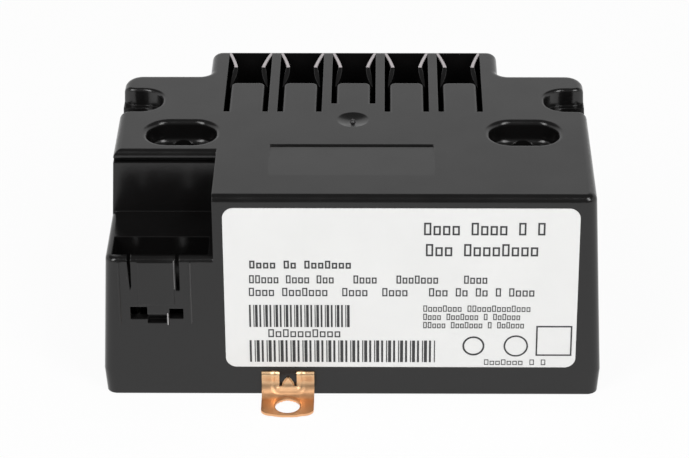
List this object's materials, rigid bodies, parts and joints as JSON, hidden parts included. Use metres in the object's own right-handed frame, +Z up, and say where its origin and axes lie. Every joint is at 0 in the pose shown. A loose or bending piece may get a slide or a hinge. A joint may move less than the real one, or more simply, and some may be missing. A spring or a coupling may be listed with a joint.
{
  "type": "ignition transformer",
  "caption": "Potted electronic ignition transformer in a black moulded housing, with screw slots, a plug notch, rear lead bays, a bare label and an earth tab.",
  "frame": {"origin": "midway between the two screw slots, on the base plane", "axes": "+X along the housing's length to the right, +Y to the rear, +Z up from the base"},
  "size_m": [0.1002, 0.0764, 0.0448],
  "materials": {
    "black_plastic": "satin moulded",
    "resin": "cast, slightly glossy",
    "label_white": "semi-gloss film",
    "label_ink": "printed",
    "tab_copper": "polished copper alloy",
    "contact_tin": "tinned",
    "carrier_plastic": "moulded",
    "board_green": "lacquered",
    "ferrite": "matt sintered",
    "spring_steel": "rolled",
    "bobbin_plastic": "moulded",
    "winding_copper": "enamelled",
    "capacitor_sleeve": "shrunk sleeve",
    "capacitor_box": "moulded box",
    "component_black": "moulded",
    "plain_aluminium": "rolled sheet",
    "screw_steel": "zinc plated",
    "resistor_body": "lacquered",
    "varistor_blue": "dipped",
    "fuse_body": "ceramic tube",
    "wire_red": "silicone sleeve",
    "wire_green": "sleeve"
  },
  "bodies": {
    "root": {"housing": "black_plastic", "potting_fill": "resin", "label": "label_white", "label_print": "label_ink", "earth_clip": "tab_copper", "hv_pin_left": "contact_tin", "hv_pin_right": "contact_tin", "mains_pin_live": "contact_tin", "mains_pin_neutral": "contact_tin", "mains_pin_earth": "contact_tin", "pin_carrier": "carrier_plastic", "circuit_board": "board_green", "core_left": "ferrite", "core_right": "ferrite", "core_clamp": "spring_steel", "primary_bobbin": "bobbin_plastic", "primary_winding": "winding_copper", "hv_bobbin": "bobbin_plastic", "secondary_winding_left": "winding_copper", "secondary_winding_right": "winding_copper", "smoothing_capacitor": "capacitor_sleeve", "suppression_capacitor": "capacitor_box", "resonance_capacitor": "capacitor_box", "transistor_screw": "screw_steel", "heat_spreader": "plain_aluminium", "power_transistor": "component_black", "rectifier_diodes": "component_black", "resistors": "resistor_body", "fuse": "fuse_body", "varistor": "varistor_blue", "choke_core": "ferrite", "choke_winding": "winding_copper", "hv_lead_left": "wire_red", "hv_lead_right": "wire_red", "earth_lead": "wire_green"}
  },
  "joints": []
}
